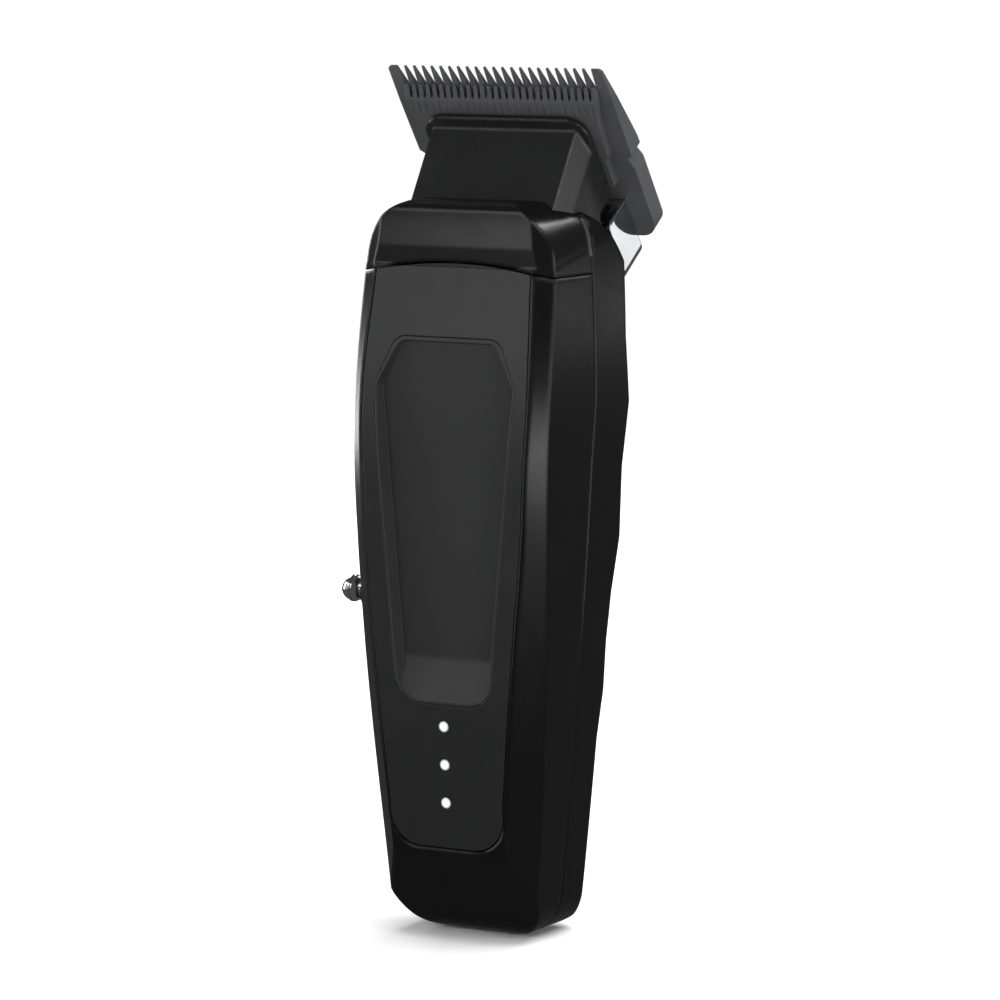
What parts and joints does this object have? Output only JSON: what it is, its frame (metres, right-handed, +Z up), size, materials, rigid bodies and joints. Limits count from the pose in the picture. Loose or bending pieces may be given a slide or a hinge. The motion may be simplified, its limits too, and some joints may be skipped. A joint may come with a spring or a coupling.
{
  "type": "hair clipper",
  "caption": "Cordless hair clipper standing on its foot: faceted black housing, leaning blade set, taper lever with ball knob, motor, battery and drive inside.",
  "frame": {"origin": "middle of the foot's resting plane", "axes": "+X the clipper's right side seen from its face, +Y towards its back, +Z up from the foot to the blades"},
  "size_m": [0.0509, 0.0441, 0.1593],
  "materials": {
    "housing": "gloss black body with satin flats",
    "cap": "gloss black",
    "face": "satin black",
    "panel": "fine matte",
    "neck": "satin black with gloss edges",
    "blade": "dark hard coat, ground",
    "chrome": "polished",
    "lever": "satin black",
    "screw": "dark",
    "steel": "bright",
    "spring": "drawn wire",
    "follower": "natural",
    "frame": "die cast",
    "motor": "zinc plated",
    "magnet": "sintered",
    "copper": "enamelled wire",
    "cell": "shrink sleeve",
    "nickel": "nickel strip",
    "cradle": "moulded",
    "board": "solder mask",
    "chip": "moulded",
    "led": "lens",
    "light": "milky",
    "switch": "ribbed"
  },
  "bodies": {
    "root": {"front_cover": "housing", "rear_cover": "housing", "head_cap": "cap", "cap_clips": "chrome", "face_plate": "face", "thumb_panel": "panel", "neck_cover": "neck", "head_frame": "frame", "guide_screws": "screw", "blade_spring": "spring", "motor_bearings": "steel", "motor_can": "motor", "motor_stator": "steel", "motor_coils": "copper", "motor_screws": "steel", "lever_washer": "steel", "lever_spring_washer": "spring", "battery_cell": "cell", "battery_cradle": "cradle", "battery_tabs": "nickel", "main_board": "board", "board_chips": "chip", "led_chips": "led", "light_pipes": "light", "charge_port": "steel", "charge_board": "board", "switch_body": "chip", "switch_board": "board", "housing_screws": "screw"},
    "bracket": {"blade_bracket": "chrome", "fixed_blade": "blade", "blade_screws": "screw"},
    "cutter": {"moving_blade": "blade", "cam_follower": "follower", "follower_screws": "steel"},
    "rotor": {"motor_shaft": "steel", "rotor_magnet": "magnet", "eccentric_cam": "steel"},
    "lever": {"lever_arm": "lever", "lever_knob": "chrome", "lever_cam": "steel", "lever_screw": "screw"},
    "power_switch": {"switch_knob": "switch"}
  },
  "joints": [
    {"name": "taper_lever", "type": "hinge", "parent": "root", "child": "lever", "pos_m": [-0.0205, 0.007, 0.116], "axis": [1, 0, 0], "range_deg": [0, 34]},
    {"name": "bracket_slide", "type": "slide", "parent": "root", "child": "bracket", "axis": [0, 0.5878, -0.809], "range_m": [0, 0.0022]},
    {"name": "blade_stroke", "type": "slide", "parent": "root", "child": "cutter", "axis": [1, 0, 0], "range_m": [-0.001, 0.001]},
    {"name": "motor_spin", "type": "hinge", "parent": "root", "child": "rotor", "pos_m": [0, 0.002, 0.1], "axis": [0, 0, 1], "continuous": true},
    {"name": "power_slide", "type": "slide", "parent": "root", "child": "power_switch", "axis": [0, 0, 1], "range_m": [0, 0.003]}
  ],
  "couplings": [
    {"joint": "taper_lever", "follows": "bracket_slide", "rad_per_m": 269.73}
  ]
}
